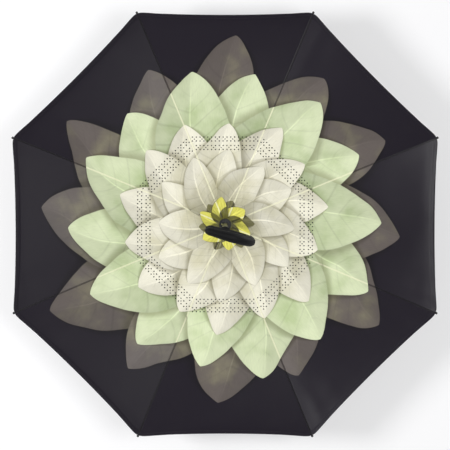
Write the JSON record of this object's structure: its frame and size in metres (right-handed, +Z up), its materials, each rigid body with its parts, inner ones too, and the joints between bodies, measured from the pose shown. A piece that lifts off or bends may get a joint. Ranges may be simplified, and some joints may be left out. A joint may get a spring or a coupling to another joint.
{
  "type": "inverted umbrella",
  "caption": "Open reverse-folding umbrella with a double canopy, hinged ribs and struts, a sliding runner and a C-shaped handle.",
  "frame": {"origin": "middle of the C handle's height, on the shaft's axis, where the hand holds it", "axes": "+Z up the shaft from the grip to the crown; the handle lies 15.4 degrees from +X towards +Y, its back at +X; the first rib is 22.5 degrees from +X"},
  "size_m": [0.992, 0.992, 0.6551],
  "materials": {
    "plastic": "moulded satin black",
    "rubber": "soft-touch black",
    "painted_steel": "black powder coat",
    "steel": "bright drawn wire and strip",
    "fibreglass": "pultruded black rod",
    "printed_cloth": "printed polyester weave",
    "black_cloth": "black polyester weave"
  },
  "bodies": {
    "root": {"shaft": "painted_steel", "top_notch": "plastic", "notch_wire": "steel", "crown_cap": "plastic", "catch_pin": "steel", "handle_body": "rubber", "handle_collar": "plastic"},
    "runner": {"runner": "plastic", "runner_wire": "steel", "canopy_washer": "plastic"},
    "top_catch": {"top_catch": "steel"},
    "rib_1": {"rib_channel_1": "painted_steel"},
    "rod_1": {"rib_rod_1": "fibreglass", "tip_cap_1": "plastic", "lower_canopy_1": "printed_cloth", "upper_canopy_1": "black_cloth"},
    "strut_1": {"strut_1": "painted_steel"},
    "rib_2": {"rib_channel_2": "painted_steel"},
    "rod_2": {"rib_rod_2": "fibreglass", "tip_cap_2": "plastic", "lower_canopy_2": "printed_cloth", "upper_canopy_2": "black_cloth"},
    "strut_2": {"strut_2": "painted_steel"},
    "rib_3": {"rib_channel_3": "painted_steel"},
    "rod_3": {"rib_rod_3": "fibreglass", "tip_cap_3": "plastic", "lower_canopy_3": "printed_cloth", "upper_canopy_3": "black_cloth"},
    "strut_3": {"strut_3": "painted_steel"},
    "rib_4": {"rib_channel_4": "painted_steel"},
    "rod_4": {"rib_rod_4": "fibreglass", "tip_cap_4": "plastic", "lower_canopy_4": "printed_cloth", "upper_canopy_4": "black_cloth"},
    "strut_4": {"strut_4": "painted_steel"},
    "rib_5": {"rib_channel_5": "painted_steel"},
    "rod_5": {"rib_rod_5": "fibreglass", "tip_cap_5": "plastic", "lower_canopy_5": "printed_cloth", "upper_canopy_5": "black_cloth"},
    "strut_5": {"strut_5": "painted_steel"},
    "rib_6": {"rib_channel_6": "painted_steel"},
    "rod_6": {"rib_rod_6": "fibreglass", "tip_cap_6": "plastic", "lower_canopy_6": "printed_cloth", "upper_canopy_6": "black_cloth"},
    "strut_6": {"strut_6": "painted_steel"},
    "rib_7": {"rib_channel_7": "painted_steel"},
    "rod_7": {"rib_rod_7": "fibreglass", "tip_cap_7": "plastic", "lower_canopy_7": "printed_cloth", "upper_canopy_7": "black_cloth"},
    "strut_7": {"strut_7": "painted_steel"},
    "rib_8": {"rib_channel_8": "painted_steel"},
    "rod_8": {"rib_rod_8": "fibreglass", "tip_cap_8": "plastic", "lower_canopy_8": "printed_cloth", "upper_canopy_8": "black_cloth"},
    "strut_8": {"strut_8": "painted_steel"}
  },
  "joints": [
    {"name": "runner_slide", "type": "slide", "parent": "root", "child": "runner", "axis": [0, 0, 1], "range_m": [-0.30693, 0], "deforming": ["lower_canopy_1", "upper_canopy_1", "lower_canopy_2", "upper_canopy_2", "lower_canopy_3", "upper_canopy_3", "lower_canopy_4", "upper_canopy_4", "lower_canopy_5", "upper_canopy_5", "lower_canopy_6", "upper_canopy_6", "lower_canopy_7", "upper_canopy_7", "lower_canopy_8", "upper_canopy_8"]},
    {"name": "catch_press", "type": "hinge", "parent": "root", "child": "top_catch", "pos_m": [0, 0, 0.4727], "axis": [-0.2656, 0.9641, 0], "range_deg": [0, 6.3], "stiffness_Nm_per_rad": 0.5, "springref_deg": -2.86},
    {"name": "rib_hinge_1", "type": "hinge", "parent": "runner", "child": "rib_1", "pos_m": [0.01201, 0.00498, 0.53], "axis": [0.3827, -0.9239, 0], "range_deg": [0, 82]},
    {"name": "rod_flex_1", "type": "hinge", "parent": "rib_1", "child": "rod_1", "pos_m": [0.17359, 0.0719, 0.53611], "axis": [0.3827, -0.9239, 0], "range_deg": [0, 17]},
    {"name": "strut_hinge_1", "type": "hinge", "parent": "root", "child": "strut_1", "pos_m": [0.01155, 0.00478, 0.576], "axis": [0.3827, -0.9239, 0], "range_deg": [-71.19, 0]},
    {"name": "rib_hinge_2", "type": "hinge", "parent": "runner", "child": "rib_2", "pos_m": [0.00498, 0.01201, 0.53], "axis": [0.9239, -0.3827, 0], "range_deg": [0, 82]},
    {"name": "rod_flex_2", "type": "hinge", "parent": "rib_2", "child": "rod_2", "pos_m": [0.0719, 0.17359, 0.53611], "axis": [0.9239, -0.3827, 0], "range_deg": [0, 17]},
    {"name": "strut_hinge_2", "type": "hinge", "parent": "root", "child": "strut_2", "pos_m": [0.00478, 0.01155, 0.576], "axis": [0.9239, -0.3827, 0], "range_deg": [-71.19, 0]},
    {"name": "rib_hinge_3", "type": "hinge", "parent": "runner", "child": "rib_3", "pos_m": [-0.00498, 0.01201, 0.53], "axis": [0.9239, 0.3827, 0], "range_deg": [0, 82]},
    {"name": "rod_flex_3", "type": "hinge", "parent": "rib_3", "child": "rod_3", "pos_m": [-0.0719, 0.17359, 0.53611], "axis": [0.9239, 0.3827, 0], "range_deg": [0, 17]},
    {"name": "strut_hinge_3", "type": "hinge", "parent": "root", "child": "strut_3", "pos_m": [-0.00478, 0.01155, 0.576], "axis": [0.9239, 0.3827, 0], "range_deg": [-71.19, 0]},
    {"name": "rib_hinge_4", "type": "hinge", "parent": "runner", "child": "rib_4", "pos_m": [-0.01201, 0.00498, 0.53], "axis": [0.3827, 0.9239, 0], "range_deg": [0, 82]},
    {"name": "rod_flex_4", "type": "hinge", "parent": "rib_4", "child": "rod_4", "pos_m": [-0.17359, 0.0719, 0.53611], "axis": [0.3827, 0.9239, 0], "range_deg": [0, 17]},
    {"name": "strut_hinge_4", "type": "hinge", "parent": "root", "child": "strut_4", "pos_m": [-0.01155, 0.00478, 0.576], "axis": [0.3827, 0.9239, 0], "range_deg": [-71.19, 0]},
    {"name": "rib_hinge_5", "type": "hinge", "parent": "runner", "child": "rib_5", "pos_m": [-0.01201, -0.00498, 0.53], "axis": [-0.3827, 0.9239, 0], "range_deg": [0, 82]},
    {"name": "rod_flex_5", "type": "hinge", "parent": "rib_5", "child": "rod_5", "pos_m": [-0.17359, -0.0719, 0.53611], "axis": [-0.3827, 0.9239, 0], "range_deg": [0, 17]},
    {"name": "strut_hinge_5", "type": "hinge", "parent": "root", "child": "strut_5", "pos_m": [-0.01155, -0.00478, 0.576], "axis": [-0.3827, 0.9239, 0], "range_deg": [-71.19, 0]},
    {"name": "rib_hinge_6", "type": "hinge", "parent": "runner", "child": "rib_6", "pos_m": [-0.00498, -0.01201, 0.53], "axis": [-0.9239, 0.3827, 0], "range_deg": [0, 82]},
    {"name": "rod_flex_6", "type": "hinge", "parent": "rib_6", "child": "rod_6", "pos_m": [-0.0719, -0.17359, 0.53611], "axis": [-0.9239, 0.3827, 0], "range_deg": [0, 17]},
    {"name": "strut_hinge_6", "type": "hinge", "parent": "root", "child": "strut_6", "pos_m": [-0.00478, -0.01155, 0.576], "axis": [-0.9239, 0.3827, 0], "range_deg": [-71.19, 0]},
    {"name": "rib_hinge_7", "type": "hinge", "parent": "runner", "child": "rib_7", "pos_m": [0.00498, -0.01201, 0.53], "axis": [-0.9239, -0.3827, 0], "range_deg": [0, 82]},
    {"name": "rod_flex_7", "type": "hinge", "parent": "rib_7", "child": "rod_7", "pos_m": [0.0719, -0.17359, 0.53611], "axis": [-0.9239, -0.3827, 0], "range_deg": [0, 17]},
    {"name": "strut_hinge_7", "type": "hinge", "parent": "root", "child": "strut_7", "pos_m": [0.00478, -0.01155, 0.576], "axis": [-0.9239, -0.3827, 0], "range_deg": [-71.19, 0]},
    {"name": "rib_hinge_8", "type": "hinge", "parent": "runner", "child": "rib_8", "pos_m": [0.01201, -0.00498, 0.53], "axis": [-0.3827, -0.9239, 0], "range_deg": [0, 82]},
    {"name": "rod_flex_8", "type": "hinge", "parent": "rib_8", "child": "rod_8", "pos_m": [0.17359, -0.0719, 0.53611], "axis": [-0.3827, -0.9239, 0], "range_deg": [0, 17]},
    {"name": "strut_hinge_8", "type": "hinge", "parent": "root", "child": "strut_8", "pos_m": [0.01155, -0.00478, 0.576], "axis": [-0.3827, -0.9239, 0], "range_deg": [-71.19, 0]}
  ],
  "couplings": [
    {"joint": "rib_hinge_1", "follows": "runner_slide", "rad_per_m": -4.6629},
    {"joint": "rod_flex_1", "follows": "runner_slide", "rad_per_m": -0.96669},
    {"joint": "strut_hinge_1", "follows": "runner_slide", "rad_per_m": 4.0481},
    {"joint": "rib_hinge_2", "follows": "runner_slide", "rad_per_m": -4.6629},
    {"joint": "rod_flex_2", "follows": "runner_slide", "rad_per_m": -0.96669},
    {"joint": "strut_hinge_2", "follows": "runner_slide", "rad_per_m": 4.0481},
    {"joint": "rib_hinge_3", "follows": "runner_slide", "rad_per_m": -4.6629},
    {"joint": "rod_flex_3", "follows": "runner_slide", "rad_per_m": -0.96669},
    {"joint": "strut_hinge_3", "follows": "runner_slide", "rad_per_m": 4.0481},
    {"joint": "rib_hinge_4", "follows": "runner_slide", "rad_per_m": -4.6629},
    {"joint": "rod_flex_4", "follows": "runner_slide", "rad_per_m": -0.96669},
    {"joint": "strut_hinge_4", "follows": "runner_slide", "rad_per_m": 4.0481},
    {"joint": "rib_hinge_5", "follows": "runner_slide", "rad_per_m": -4.6629},
    {"joint": "rod_flex_5", "follows": "runner_slide", "rad_per_m": -0.96669},
    {"joint": "strut_hinge_5", "follows": "runner_slide", "rad_per_m": 4.0481},
    {"joint": "rib_hinge_6", "follows": "runner_slide", "rad_per_m": -4.6629},
    {"joint": "rod_flex_6", "follows": "runner_slide", "rad_per_m": -0.96669},
    {"joint": "strut_hinge_6", "follows": "runner_slide", "rad_per_m": 4.0481},
    {"joint": "rib_hinge_7", "follows": "runner_slide", "rad_per_m": -4.6629},
    {"joint": "rod_flex_7", "follows": "runner_slide", "rad_per_m": -0.96669},
    {"joint": "strut_hinge_7", "follows": "runner_slide", "rad_per_m": 4.0481},
    {"joint": "rib_hinge_8", "follows": "runner_slide", "rad_per_m": -4.6629},
    {"joint": "rod_flex_8", "follows": "runner_slide", "rad_per_m": -0.96669},
    {"joint": "strut_hinge_8", "follows": "runner_slide", "rad_per_m": 4.0481}
  ]
}
